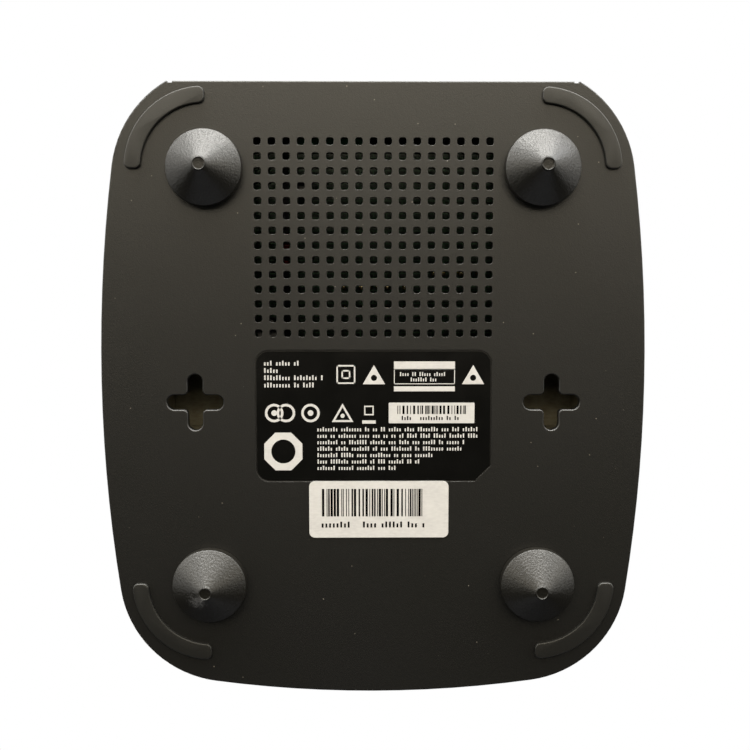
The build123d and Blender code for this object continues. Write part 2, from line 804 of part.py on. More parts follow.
# ---------------------------------------------------------------- write every piece
def all_pieces():
    pieces = {
        "base_cover": base_cover(),
        "top_shell": top_shell(),
        "rear_panel": rear_panel(),
        "foot_adhesive_discs": foot_adhesive_discs(),
        "case_screws": case_screws(),
        "rating_label": rating_label(),
        "serial_label": serial_label(),
        "batch_label": batch_label(),
        "main_board": main_board(),
        "power_board": power_board(),
        "board_screws": board_screws(),
        "solder_joints": solder_joints(),
        "wifi_module": wifi_module(),
        "amp_chip": amp_chip(),
        "thermal_pad": thermal_pad(),
        "heatsink": heatsink(),
        "output_inductors": output_inductors(),
        "output_capacitors": output_capacitors(),
        "transformer": transformer(),
        "bulk_capacitor": bulk_capacitor(),
        "mains_fuse": mains_fuse(),
        "link_wires": link_wires(),
        "mains_inlet": mains_inlet(),
        "inlet_pins": inlet_pins(),
        "speaker_header": speaker_header(),
        "speaker_pins": speaker_pins(),
        "phono_blocks": phono_blocks(),
        "phono_shells": phono_shells(),
        "phono_inserts_white": group(phono_insert(phono_x[0], z) for z in phono_z[1:]),
        "phono_inserts_red": group(phono_insert(phono_x[0], z) for z in phono_z[:1]),
        "phono_inserts_dark": group(phono_insert(phono_x[1], z) for z in phono_z),
        "optical_socket": optical_socket(),
        "optical_shutter": optical_shutter(),
        "network_jack": network_jack(),
        "network_contacts": network_contacts(),
        "network_lamps": network_lamps(),
        "button_board": button_board(),
        "rear_switches": rear_switches(),
        "reset_plunger": reset_plunger(),
        "pair_button": pair_button(),
        "front_board": front_board(),
        "front_switch": front_switch(),
        "standby_button": standby_button(),
        "status_light_pipe": status_light_pipe(),
        "status_lamp": status_lamp(),
        "front_ribbon": front_ribbon(),
    }
    for name, x, y, sx, sy in feet_places():
        pieces[f"foot_{name}"] = foot(x, y)
        pieces[f"corner_pad_{name}"] = corner_pad(x, y, sx, sy)
    for word, side in (("left", -1), ("right", 1)):
        pieces[f"keyhole_cap_{word}"] = keyhole_cap(side)
        pieces[f"aerial_{word}"] = aerial(side)
        pieces[f"aerial_lead_{word}"] = aerial_lead(side)
    return pieces


os.makedirs("parts", exist_ok=True)
for name, shape in all_pieces().items():
    export_step(shape, f"parts/{name}.step")
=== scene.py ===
import json
import bpy
import numpy as np
from mathutils import Matrix, Vector


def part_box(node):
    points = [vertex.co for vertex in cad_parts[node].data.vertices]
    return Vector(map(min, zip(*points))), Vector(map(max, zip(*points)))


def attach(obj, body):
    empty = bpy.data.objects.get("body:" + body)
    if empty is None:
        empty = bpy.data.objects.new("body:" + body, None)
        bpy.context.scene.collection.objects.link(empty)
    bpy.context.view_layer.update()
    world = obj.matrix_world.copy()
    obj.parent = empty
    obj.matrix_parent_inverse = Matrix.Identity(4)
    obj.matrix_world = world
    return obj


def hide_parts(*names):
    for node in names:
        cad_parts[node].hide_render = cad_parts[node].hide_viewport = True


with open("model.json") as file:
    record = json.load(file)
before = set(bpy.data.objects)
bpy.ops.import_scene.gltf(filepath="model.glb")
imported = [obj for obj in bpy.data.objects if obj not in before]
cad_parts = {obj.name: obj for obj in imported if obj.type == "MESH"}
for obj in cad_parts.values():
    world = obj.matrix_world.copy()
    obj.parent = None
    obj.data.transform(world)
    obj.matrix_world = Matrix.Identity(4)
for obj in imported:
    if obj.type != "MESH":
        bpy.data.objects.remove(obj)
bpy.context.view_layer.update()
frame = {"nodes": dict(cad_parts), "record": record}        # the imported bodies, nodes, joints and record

mm = 0.001
caseBody = "case"
random = np.random.default_rng(11)


# ---- nodes and materials ----

def linear(hexColour):
    # sRGB to linear light: a straight line near black, a power of 2.4 above it
    value = np.array([int(hexColour[i:i + 2], 16) for i in (1, 3, 5)]) / 255
    light = np.where(value <= 0.04045, value / 12.92, ((value + 0.055) / 1.055) ** 2.4)
    return (*light.tolist(), 1.0)


def addNode(tree, kind, settings=None, links=None):
    node = tree.nodes.new(kind)
    for key, value in (settings or {}).items():
        if isinstance(key, str) and hasattr(node, key):
            setattr(node, key, value)
        else:
            node.inputs[key].default_value = value
    for key, source in (links or {}).items():
        tree.links.new(source, node.inputs[key])
    return node


def startMaterial(name, shaderSettings):
    material = bpy.data.materials.new(name)
    material.use_nodes = True
    tree = material.node_tree
    tree.nodes.clear()
    shader = addNode(tree, "ShaderNodeBsdfPrincipled", shaderSettings)
    addNode(tree, "ShaderNodeOutputMaterial", links={"Surface": shader.outputs[0]})
    return material, tree, shader


def cyclesPerMetre(sizeMm):
    return 1 / (sizeMm * mm)


def mouldedPlastic(name, look):
    # plastic and rubber out of a mould: a faint cloud in the colour, the tool's grain as bump,
    # gloss that wanders a little, and dust or lint where look["dust"] says so
    material, tree, shader = startMaterial(name, {"IOR": look.get("ior", 1.53)})
    if "coat" in look:
        shader.inputs["Coat Weight"].default_value = look["coat"]
        shader.inputs["Coat Roughness"].default_value = 0.12
    if "glow" in look:
        shader.inputs["Transmission Weight"].default_value = look["glow"]
    place = addNode(tree, "ShaderNodeTexCoord").outputs["Object"]
    cloud = addNode(tree, "ShaderNodeTexNoise",
                    {"Scale": cyclesPerMetre(look.get("cloud", 18)), "Detail": 4.0},
                    {"Vector": place})
    spread = addNode(tree, "ShaderNodeMapRange", {"From Min": 0.3, "From Max": 0.7},
                     {"Value": cloud.outputs[0]})
    tone = addNode(tree, "ShaderNodeMix",
                   {"data_type": "RGBA", 6: linear(look["tone"]), 7: linear(look["shade"])},
                   {0: spread.outputs[0]})
    colour = tone.outputs[2]
    grain = addNode(tree, "ShaderNodeTexNoise",
                    {"Scale": cyclesPerMetre(look.get("grain", 0.3)), "Detail": 3.0, "Roughness": 0.6},
                    {"Vector": place})
    rough = addNode(tree, "ShaderNodeMapRange",
                    {"To Min": look["rough"] - 0.02, "To Max": look["rough"] + 0.03},
                    {"Value": cloud.outputs[0]})
    height = grain.outputs[0]
    if "dust" in look:
        # a speck where a cell's random point lies within a fraction of a cell, in one cell of three
        cells = addNode(tree, "ShaderNodeTexVoronoi", {"Scale": cyclesPerMetre(look["dustGap"])},
                        {"Vector": place})
        reach = look["dustSize"] / look["dustGap"]
        near = addNode(tree, "ShaderNodeMapRange", {"From Min": reach, "From Max": 0.4 * reach},
                       {"Value": cells.outputs["Distance"]})
        share = addNode(tree, "ShaderNodeMath", {"operation": "GREATER_THAN", 1: 0.62},
                        {0: cells.outputs["Color"]})
        speck = addNode(tree, "ShaderNodeMath", {"operation": "MULTIPLY"},
                        {0: near.outputs[0], 1: share.outputs[0]})
        dusty = addNode(tree, "ShaderNodeMix", {"data_type": "RGBA", 7: linear(look["dust"])},
                        {0: speck.outputs[0], 6: colour})
        colour = dusty.outputs[2]
    soft = addNode(tree, "ShaderNodeBevel", {"samples": 4, "Radius": look.get("edge", 0.15) * mm})
    bump = addNode(tree, "ShaderNodeBump",
                   {"Strength": look.get("bump", 0.25), "Distance": look.get("grain", 0.3) * 0.35 * mm},
                   {"Height": height, "Normal": soft.outputs[0]})
    tree.links.new(colour, shader.inputs["Base Color"])
    tree.links.new(rough.outputs[0], shader.inputs["Roughness"])
    tree.links.new(bump.outputs[0], shader.inputs["Normal"])
    return material


def workedMetal(name, look):
    # bare or plated metal: tool or rolling lines drawn as noise stretched along one axis,
    # which also break up the gloss, and a slow drift towards the tarnished tone
    material, tree, shader = startMaterial(name, {"Metallic": 1.0})
    place = addNode(tree, "ShaderNodeTexCoord").outputs["Object"]
    lines = addNode(tree, "ShaderNodeMapping", {"Scale": look.get("stretch", (1, 1, 1))}, {"Vector": place})
    grain = addNode(tree, "ShaderNodeTexNoise", {"Scale": cyclesPerMetre(look["grain"]), "Detail": 4.0},
                    {"Vector": lines.outputs[0]})
    drift = addNode(tree, "ShaderNodeTexNoise",
                    {"Scale": cyclesPerMetre(look.get("cloud", 6)), "Detail": 3.0},
                    {"Vector": place})
    tone = addNode(tree, "ShaderNodeMix",
                   {"data_type": "RGBA", 6: linear(look["tone"]), 7: linear(look["shade"])},
                   {0: drift.outputs[0]})
    rough = addNode(tree, "ShaderNodeMapRange",
                    {"To Min": look["rough"] - 0.08, "To Max": look["rough"] + 0.1},
                    {"Value": grain.outputs[0]})
    soft = addNode(tree, "ShaderNodeBevel", {"samples": 4, "Radius": 0.1 * mm})
    bump = addNode(tree, "ShaderNodeBump", {"Strength": 0.2, "Distance": look["grain"] * 0.2 * mm},
                   {"Height": grain.outputs[0], "Normal": soft.outputs[0]})
    tree.links.new(tone.outputs[2], shader.inputs["Base Color"])
    tree.links.new(rough.outputs[0], shader.inputs["Roughness"])
    tree.links.new(bump.outputs[0], shader.inputs["Normal"])
    return material


def pressedSheet(name, look):
    # paper, film and pressed board: short fibres, drawn as noise stretched along x, tint the
    # sheet and lift it by a hair, and a broad noise gives the uneven handling marks
    material, tree, shader = startMaterial(name, {"IOR": 1.48})
    place = addNode(tree, "ShaderNodeTexCoord").outputs["Object"]
    laid = addNode(tree, "ShaderNodeMapping", {"Scale": (0.35, 1, 1)}, {"Vector": place})
    fibre = addNode(tree, "ShaderNodeTexNoise", {"Scale": cyclesPerMetre(look["fibre"]), "Detail": 5.0},
                    {"Vector": laid.outputs[0]})
    marks = addNode(tree, "ShaderNodeTexNoise", {"Scale": cyclesPerMetre(look["cloud"]), "Detail": 3.0},
                    {"Vector": place})
    both = addNode(tree, "ShaderNodeMath", {"operation": "MULTIPLY"},
                   {0: fibre.outputs[0], 1: marks.outputs[0]})
    spread = addNode(tree, "ShaderNodeMapRange", {"From Min": 0.12, "From Max": 0.42},
                     {"Value": both.outputs[0]})
    tone = addNode(tree, "ShaderNodeMix",
                   {"data_type": "RGBA", 6: linear(look["tone"]), 7: linear(look["shade"])},
                   {0: spread.outputs[0]})
    rough = addNode(tree, "ShaderNodeMapRange",
                    {"To Min": look["rough"] - 0.06, "To Max": look["rough"] + 0.08},
                    {"Value": marks.outputs[0]})
    bump = addNode(tree, "ShaderNodeBump", {"Strength": look.get("bump", 0.15), "Distance": 0.03 * mm},
                   {"Height": fibre.outputs[0]})
    tree.links.new(tone.outputs[2], shader.inputs["Base Color"])
    tree.links.new(rough.outputs[0], shader.inputs["Roughness"])
    tree.links.new(bump.outputs[0], shader.inputs["Normal"])
    return material


def maskedBoard(name, look):
    # fibreglass board under solder mask: tracks are the mortar of a brick pattern, which stand
    # up under the mask and show through it a little lighter
    material, tree, shader = startMaterial(name, {"IOR": 1.52, "Coat Weight": 0.4, "Coat Roughness": 0.15})
    place = addNode(tree, "ShaderNodeTexCoord").outputs["Object"]
    tracks = addNode(tree, "ShaderNodeTexBrick",
                     {"Scale": cyclesPerMetre(look["trackGap"]), "Mortar Size": 0.09, "Mortar Smooth": 0.2,
                      "Brick Width": 1.7, "Row Height": 0.55, "offset": 0.37, "squash": 1.6,
                      "Color1": linear(look["tone"]), "Color2": linear(look["shade"]),
                      "Mortar": linear(look["track"])},
                     {"Vector": place})
    weave = addNode(tree, "ShaderNodeTexNoise", {"Scale": cyclesPerMetre(0.6)}, {"Vector": place})
    rough = addNode(tree, "ShaderNodeMapRange", {"To Min": 0.32, "To Max": 0.5}, {"Value": weave.outputs[0]})
    bump = addNode(tree, "ShaderNodeBump", {"Strength": 0.5, "Distance": 0.05 * mm},
                   {"Height": tracks.outputs["Fac"]})
    tree.links.new(tracks.outputs["Color"], shader.inputs["Base Color"])
    tree.links.new(rough.outputs[0], shader.inputs["Roughness"])
    tree.links.new(bump.outputs[0], shader.inputs["Normal"])
    return material


# what each of the record's slots is made of, and how its surface was made
finishes = {
    # spark-eroded mould: dull, warm near-black with a fine grain that holds dust
    "case_black": (mouldedPlastic, "sparkErodedAbs", {
        "tone": "#0e0e0c", "shade": "#0c0c0b", "cloud": 24, "grain": 0.34, "bump": 0.3, "rough": 0.42,
        "dust": "#77726a", "dustGap": 3.4, "dustSize": 0.2, "edge": 0.2}),
    # same plastic from a smoother tool: even and a little darker
    "panel_black": (mouldedPlastic, "smoothAbs", {
        "tone": "#1d1d1d", "shade": "#191919", "grain": 0.25, "bump": 0.15, "rough": 0.5}),
    # thin peelable foam: no gloss at all
    "adhesive": (mouldedPlastic, "acrylicFoam", {
        "tone": "#3a3a3a", "shade": "#2c2c2c", "grain": 0.2, "bump": 0.6, "rough": 0.85}),
    # blackened steel: dark, with a dull metal glint on the edges
    "screw_steel": (workedMetal, "blackOxideSteel", {
        "tone": "#4a4a4c", "shade": "#333335", "grain": 0.15, "rough": 0.42}),
    # printed polyester film: deep black, smooth and slightly satin
    "label_black": (pressedSheet, "blackPolyesterFilm", {
        "tone": "#060605", "shade": "#050504", "fibre": 0.4, "cloud": 9, "rough": 0.24, "bump": 0.05}),
    # uncoated label stock: warm off-white, mottled by its fibres
    "label_white": (pressedSheet, "labelPaper", {
        "tone": "#c8c8c9", "shade": "#bbbbbd", "fibre": 0.5, "cloud": 5, "rough": 0.68}),
    # green solder mask over glass fibre: semi-gloss, tracks just showing
    "board_green": (maskedBoard, "solderMaskedBoard", {
        "tone": "#12301c", "shade": "#0f2a19", "track": "#2b5a35", "trackGap": 2.2}),
    # solder that froze bright and uneven
    "solder": (workedMetal, "frozenSolder", {
        "tone": "#e2d9bd", "shade": "#b9a46c", "grain": 0.5, "cloud": 2, "rough": 0.22}),
    # tinned sheet, stamped: pale, fine lines along the sheet
    "shield_tin": (workedMetal, "tinnedSheet", {
        "tone": "#c9c8c2", "shade": "#a9a8a2", "grain": 0.25, "stretch": (0.1, 1, 1), "rough": 0.3}),
    # filled epoxy: flat black with a trace of grain
    "chip_black": (mouldedPlastic, "mouldedEpoxy", {
        "tone": "#1b1b1b", "shade": "#151515", "grain": 0.15, "bump": 0.2, "rough": 0.6}),
    # silicone sheet: soft blue-grey
    "thermal_grey": (mouldedPlastic, "siliconeSheet", {
        "tone": "#9aa2ab", "shade": "#88909a", "grain": 0.4, "rough": 0.7}),
    # extruded aluminium: die lines along its length
    "sink_aluminium": (workedMetal, "extrudedAluminium", {
        "tone": "#c3c5c8", "shade": "#a8abb0", "grain": 0.3, "stretch": (1, 0.05, 1), "rough": 0.36}),
    # sintered ferrite: charcoal, chalky
    "ferrite": (mouldedPlastic, "sinteredFerrite", {
        "tone": "#4a4a4c", "shade": "#3c3c3e", "grain": 0.3, "bump": 0.5, "rough": 0.75}),
    # heat-shrunk sleeve: tight and glossy
    "can_blue": (mouldedPlastic, "shrinkSleeve", {
        "tone": "#1a2846", "shade": "#141f38", "grain": 1.2, "bump": 0.1, "rough": 0.3, "coat": 0.4}),
    # wound polyester tape: amber, with a slight gloss
    "tape_yellow": (pressedSheet, "polyesterTape", {
        "tone": "#dcb13a", "shade": "#b98d22", "fibre": 1.2, "cloud": 6, "rough": 0.35}),
    # glazed ceramic tube
    "fuse_glass": (mouldedPlastic, "glazedCeramic", {
        "tone": "#e2ded2", "shade": "#cdc8ba", "grain": 0.8, "bump": 0.05, "rough": 0.2, "coat": 0.6}),
    # extruded cable jacket
    "wire_red": (mouldedPlastic, "extrudedPvc", {
        "tone": "#8e1d18", "shade": "#761612", "grain": 0.5, "bump": 0.1, "rough": 0.45}),
    # polished mould: black nylon with a soft shine
    "socket_black": (mouldedPlastic, "mouldedNylon", {
        "tone": "#191919", "shade": "#131313", "grain": 0.4, "bump": 0.12, "rough": 0.38}),
    # tin-plated brass pins, drawn
    "pin_brass": (workedMetal, "drawnBrass", {
        "tone": "#d3bf8a", "shade": "#b39a5e", "grain": 0.2, "stretch": (1, 0.1, 1), "rough": 0.25}),
    # glass-filled polyamide: bright green, waxy
    "header_green": (mouldedPlastic, "filledPolyamide", {
        "tone": "#1f7a3c", "shade": "#196633", "grain": 0.3, "bump": 0.2, "rough": 0.45}),
    # nickel over turned brass: bright rings
    "nickel": (workedMetal, "platedNickel", {
        "tone": "#d8d5cc", "shade": "#bdb9ae", "grain": 0.2, "stretch": (1, 0.2, 1), "rough": 0.16}),
    "insert_white": (mouldedPlastic, "whitePolypropylene", {
        "tone": "#cbcac4", "shade": "#bfbdb4", "grain": 0.5, "bump": 0.08, "rough": 0.32}),
    "insert_red": (mouldedPlastic, "redPolypropylene", {
        "tone": "#b3201b", "shade": "#9b1814", "grain": 0.5, "bump": 0.08, "rough": 0.32}),
    "insert_dark": (mouldedPlastic, "blackPolypropylene", {
        "tone": "#1c1c1c", "shade": "#161616", "grain": 0.5, "bump": 0.08, "rough": 0.32}),
    "shutter_grey": (mouldedPlastic, "acetal", {
        "tone": "#34353a", "shade": "#2a2b30", "grain": 0.4, "bump": 0.08, "rough": 0.35}),
    # gold flash over nickel: warm and bright
    "gilt": (workedMetal, "goldFlash", {
        "tone": "#f0cf7a", "shade": "#d3a94b", "grain": 0.2, "rough": 0.2}),
    "lamp_amber": (mouldedPlastic, "tintedPolycarbonate", {
        "tone": "#b9c65a", "shade": "#9aa647", "grain": 0.6, "bump": 0.05, "rough": 0.25, "glow": 0.3}),
    # polished key caps: smoother than the case around them
    "button_black": (mouldedPlastic, "polishedAbs", {
        "tone": "#232323", "shade": "#1d1d1d", "grain": 0.3, "bump": 0.08, "rough": 0.34}),
    "light_pipe": (mouldedPlastic, "frostedPolycarbonate", {
        "tone": "#e6e9ec", "shade": "#d5d9dd", "grain": 0.3, "bump": 0.1, "rough": 0.4, "glow": 0.5}),
    "ribbon_white": (pressedSheet, "laminatedFlatCable", {
        "tone": "#dcdcd6", "shade": "#bfbfb8", "fibre": 0.9, "cloud": 6, "rough": 0.4}),
    # pressed fibre board: brown, with visible fibres
    "cap_brown": (pressedSheet, "pressedFibreBoard", {
        "tone": "#6f6a58", "shade": "#565040", "fibre": 0.7, "cloud": 4, "rough": 0.78, "bump": 0.5}),
    "aerial_board": (maskedBoard, "blackMaskedBoard", {
        "tone": "#161616", "shade": "#121212", "track": "#6a5a32", "trackGap": 3.5}),
    "coax_grey": (mouldedPlastic, "extrudedJacket", {
        "tone": "#4a4a4a", "shade": "#3f3f3f", "grain": 0.6, "bump": 0.1, "rough": 0.5}),
    # satin thermoplastic rubber, fine eroded tool: a grainy, broad streak of light down each cone
    "foot_grey": (mouldedPlastic, "satinElastomer", {
        "tone": "#12110e", "shade": "#0f0e0b", "cloud": 3, "grain": 0.6, "bump": 0.5,
        "rough": 0.35, "ior": 1.44}),
    # moulded soft rubber: dark, dull, picks up a little dust
    "pad_rubber": (mouldedPlastic, "mouldedRubber", {
        "tone": "#131311", "shade": "#11110f", "cloud": 8, "grain": 0.25, "bump": 0.3, "rough": 0.48,
        "dust": "#6f6a62", "dustGap": 4.0, "dustSize": 0.18}),
}
materials = {slot: make(name, look) for slot, (make, name, look) in finishes.items()}
for subpart in frame["record"]["subparts"]:
    for place in frame["nodes"][subpart["node"]].material_slots:
        place.material = materials[subpart["material_slot"]]
print("materials made:", len(materials))


# ---- surfaces from arrays ----

def addPiece(name, points, faces, slot, smooth=True):
    mesh = bpy.data.meshes.new(name)
    mesh.from_pydata(np.asarray(points).tolist(), [], faces)
    mesh.polygons.foreach_set("use_smooth", np.full(len(mesh.polygons), smooth))
    mesh.materials.append(materials[slot])
    mesh.validate()
    piece = bpy.data.objects.new(name, mesh)
    bpy.context.scene.collection.objects.link(piece)
    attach(piece, caseBody)
    return piece


def ringFaces(rows, columns, flip=False):
    # quads between neighbouring rows of closed rings, then one face over each end ring
    row, column = np.meshgrid(np.arange(rows - 1), np.arange(columns), indexing="ij")
    here = row * columns + column
    beside = row * columns + (column + 1) % columns
    quads = np.stack([here, beside, beside + columns, here + columns], axis=-1).reshape(-1, 4)
    first = np.arange(columns)[::-1]
    last = (rows - 1) * columns + np.arange(columns)
    faces = quads.tolist() + [first.tolist(), last.tolist()]
    return [face[::-1] for face in faces] if flip else faces


def roundedProfile(corners, reach, steps=5):
    # every inner corner becomes a short curve that leaves and meets its two edges at the given
    # reach: a weighted mean of the three points, weights (1-t)^2, 2t(1-t) and t^2
    corners = np.asarray(corners, float)
    reach = np.asarray(reach, float)[:, None]
    middle = corners[1:-1]
    toPrevious = corners[:-2] - middle
    toNext = corners[2:] - middle
    start = middle + reach * toPrevious / np.linalg.norm(toPrevious, axis=1, keepdims=True)
    end = middle + reach * toNext / np.linalg.norm(toNext, axis=1, keepdims=True)
    t = np.linspace(0, 1, steps)[None, :, None]
    curve = (1 - t) ** 2 * start[:, None] + 2 * t * (1 - t) * middle[:, None] + t ** 2 * end[:, None]
    return np.concatenate([corners[:1], curve.reshape(-1, 2), corners[-1:]])


def nodeBox(node):
    low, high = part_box(node)
    return np.array(low), np.array(high)


# ---- cone feet ----

foot = {
    "wallHeight": 2.6, "neckSwell": 0.16, "neckHeight": 0.4,
    "tipRadius": 1.8, "dimpleRadius": 1.5, "dimpleDepth": 0.22, "sides": 96,
    "bends": [0.05, 0.3, 0.1, 0.14, 0.06, 0.08],       # how far each inner corner is rounded
}


def makeFoot(node):
    # a profile of radius against height, turned about the foot's axis: upright wall, rounded
    # shoulder, straight cone, small rim and a dished tip
    low, high = nodeBox(node)
    centre = (low + high) / 2
    radius = (high[0] - low[0]) / 2 / mm
    top = high[2] / mm
    shoulder = top - foot["wallHeight"]
    neck = foot["tipRadius"] + foot["neckSwell"]
    corners = [
        (radius - 0.5, top), (radius, top), (radius, shoulder),
        (neck, foot["neckHeight"]), (foot["tipRadius"], 0.0),
        (foot["dimpleRadius"] + 0.1, 0.0), (foot["dimpleRadius"] - 0.05, foot["dimpleDepth"]),
        (0.2, foot["dimpleDepth"]),
    ]
    profile = roundedProfile(corners, foot["bends"]) * mm
    angle = np.linspace(0, 2 * np.pi, foot["sides"], endpoint=False)
    points = np.stack([
        centre[0] + profile[:, :1] * np.cos(angle),
        centre[1] + profile[:, :1] * np.sin(angle),
        np.repeat(profile[:, 1:], foot["sides"], axis=1),
    ], axis=-1)
    faces = ringFaces(len(profile), foot["sides"], flip=True)
    piece = addPiece(node + "_turned", points.reshape(-1, 3), faces, "foot_grey")
    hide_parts(node)


feet = [name for name in frame["nodes"] if name.startswith("foot_") and name != "foot_adhesive_discs"]
for name in feet:
    makeFoot(name)
print("feet made:", len(feet))


# ---- corner pads ----

# "outline", "side" and "edgeSteps" are numbers of points: round a corner, along a side, over the edge
pad = {
    "radius": 19.9, "width": 4.5, "corner": 1.6, "edge": 0.35,
    "outline": 22, "side": 60, "edgeSteps": 6,
}


def makePad(node):
    # a rounded rectangle (arc length by width) wrapped round the foot's centre; rings of it
    # shrink inwards while their height follows a quarter circle, which gives the soft edge
    low, high = nodeBox(node)
    sideX = 1 if "right" in node else -1
    sideY = 1 if "rear" in node else -1
    outer = (pad["radius"] + pad["width"] / 2) * mm
    centreX = (high[0] if sideX > 0 else low[0]) - sideX * outer
    centreY = (high[1] if sideY > 0 else low[1]) - sideY * outer
    halfArc = pad["radius"] * np.pi / 4
    halfWidth = pad["width"] / 2
    turn = np.linspace(0, np.pi / 2, pad["outline"])
    along = np.linspace(-1, 1, pad["side"])[1:-1]
    rings = []
    heights = []
    for step in np.linspace(0, np.pi / 2, pad["edgeSteps"]):
        inset = pad["edge"] * (1 - np.cos(step))
        heights.append(pad["edge"] * np.sin(step))
        length, width = halfArc - inset, halfWidth - inset
        corner = pad["corner"] - inset * 0.6
        # four quarter turns, with the two long sides filled in between them
        quarter = np.stack([
            length - corner + corner * np.cos(turn), width - corner + corner * np.sin(turn)], axis=1)
        side = np.stack([-along * (length - corner), np.full_like(along, width)], axis=1)
        half = np.concatenate([quarter, side, quarter[::-1] * (-1, 1)])
        rings.append(np.concatenate([half, -half]))
    rings = np.array(rings)
    angle = np.pi / 4 + rings[..., 0] / pad["radius"]
    radius = (pad["radius"] + rings[..., 1]) * mm
    flat = high[2] - low[2] - pad["edge"] * mm
    drop = np.array(heights)[:, None] * mm + flat
    points = np.stack([
        centreX + sideX * radius * np.cos(angle),
        centreY + sideY * radius * np.sin(angle),
        high[2] - np.broadcast_to(drop, radius.shape),
    ], axis=-1)
    foundation = points[:1].copy()
    foundation[..., 2] = high[2]
    points = np.concatenate([foundation, points])
    faces = ringFaces(points.shape[0], points.shape[1], flip=sideX * sideY > 0)
    piece = addPiece(node + "_moulded", points.reshape(-1, 3), faces, "pad_rubber")
    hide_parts(node)


pads = [name for name in frame["nodes"] if name.startswith("corner_pad_")]
for name in pads:
    makePad(name)
print("pads made:", len(pads))


# ---- printing on the labels ----

inkHeight = 0.02         # millimetres


def printedBars(bars, centre, face):
    # every bar is (left, right, bottom, top) in the reader's millimetres from the label's
    # centre; the reader looks up from below, so left to right runs towards -x
    left, right, bottom, top = np.asarray(bars, float).T * mm
    x = centre[0] - np.stack([left, right, right, left], axis=1)
    y = centre[1] + np.stack([bottom, bottom, top, top], axis=1)
    outline = np.stack([x, y, np.full_like(x, face)], axis=-1)
    lower = outline.copy()
    lower[..., 2] -= inkHeight * mm
    return np.concatenate([outline, lower], axis=1)


def inkPiece(name, boxes, slot):
    # eight corners to a bar, four against the label and four facing the reader
    boxes = np.concatenate(boxes)
    start = np.arange(len(boxes))[:, None, None] * 8
    quads = np.array([[0, 3, 2, 1], [4, 5, 6, 7], [0, 1, 5, 4], [1, 2, 6, 5], [2, 3, 7, 6], [3, 0, 4, 7]])
    faces = (start + quads[None]).reshape(-1, 4)[:, ::-1]
    return addPiece(name, boxes.reshape(-1, 3), faces.tolist(), slot, smooth=False)


def dashLine(left, top, width, height):
    # stand-in for a line of small print: upright dashes of three heights, grouped into words
    pitch = height * 0.62
    count = int(width / pitch)
    x = left + pitch * np.arange(count)
    tall = random.choice([0.68, 0.7, 1.0], size=count)
    wordEnds = np.cumsum(random.integers(3, 10, size=count))
    inWord = ~np.isin(np.arange(count), wordEnds)
    low = np.full(count, top - height)
    return np.stack([x, x + pitch * 0.5, low, low + height * tall], axis=1)[inWord]


def stripes(left, right, bottom, top, finest):
    # bars and gaps of one to three units, drawn at random
    widths = random.choice([1, 1, 2, 3], size=200) * finest
    edges = left + np.concatenate([[0], np.cumsum(widths)])
    edges = edges[edges < right]
    edges = edges[: len(edges) // 2 * 2].reshape(-1, 2)
    return np.column_stack([edges, np.full(len(edges), bottom), np.full(len(edges), top)])


def frameBars(left, right, bottom, top, line):
    return np.array([
        (left, right, top - line, top), (left, right, bottom, bottom + line),
        (left, left + line, bottom, top), (right - line, right, bottom, top)])


def polygon(sides, radius, centre, turn=0.0, perSide=1):
    # corners evenly round a circle, with each side cut into equal steps between its corners
    angle = turn + 2 * np.pi * np.arange(sides) / sides
    corners = np.stack([centre[0] + radius * np.cos(angle), centre[1] + radius * np.sin(angle)], axis=1)
    step = (np.arange(perSide) / perSide)[None, :, None]
    return (corners[:, None] * (1 - step) + np.roll(corners, -1, axis=0)[:, None] * step).reshape(-1, 2)


def printedBand(outer, inner):
    # the flat area between two outlines with equally many points: four closed rows, outer and
    # inner against the label and facing the reader, joined round into a shallow ring
    outlines = np.stack([outer, outer, inner, inner]) * mm
    depth = np.array([0, 1, 1, 0])[:, None] * inkHeight * mm
    points = np.stack([
        ratingCentre[0] - outlines[..., 0],
        ratingCentre[1] + outlines[..., 1],
        np.broadcast_to(ratingFace - depth, outlines.shape[:2]),
    ], axis=-1)
    rows, columns = points.shape[:2]
    row, column = np.meshgrid(np.arange(rows), np.arange(columns), indexing="ij")
    nextRow, nextColumn = (row + 1) % rows, (column + 1) % columns
    faces = np.stack([
        row * columns + column, row * columns + nextColumn,
        nextRow * columns + nextColumn, nextRow * columns + column], axis=-1)
    return points.reshape(-1, 3), faces.reshape(-1, 4)


def joinedPiece(name, parts, slot):
    starts = np.cumsum([0] + [len(points) for points, faces in parts[:-1]])
    points = np.concatenate([points for points, faces in parts])
    faces = np.concatenate([faces + start for (_, faces), start in zip(parts, starts)])
    return addPiece(name, points, faces.tolist(), slot, smooth=False)


def labelPlace(node):
    low, high = nodeBox(node)
    return (low + high) / 2, low[2]


ratingCentre, ratingFace = labelPlace("rating_label")
# in the reader's millimetres from the label's centre; the two lists hold each line's length, and
# a frame or a bar is (left, right, bottom, top)
rating = {
    "addressLines": [10.9, 4.6, 17.0, 15.4],
    "addressLeft": -30.6, "addressTop": 15.6, "addressPitch": 2.04, "addressHeight": 1.35,
    "noteLines": [45.8, 45.9, 41.9, 42.1, 32.9, 30.2, 22.7],
    "noteLeft": -15.8, "noteTop": -3.1, "notePitch": 1.83, "noteHeight": 1.2,
    "squares": [(-10.4, -5.1, 9.1, 14.4), (-9.0, -6.5, 10.5, 13.0)], "squareLine": 0.42,
    "noticeHead": (5.7, 22.8, 13.1, 15.4), "noticeFoot": (5.7, 22.8, 7.0, 8.4),
    "noticeField": (5.7, 22.8, 9.0, 13.3), "noticeLine": 0.22,
    "noticeDashes": [(7.4, 12.4, 14.0), (10.4, 10.9, 8.0)], "noticeDashHeight": 1.1,
    "underline": (-3.2, 0.6, -2.1, -1.2),
}
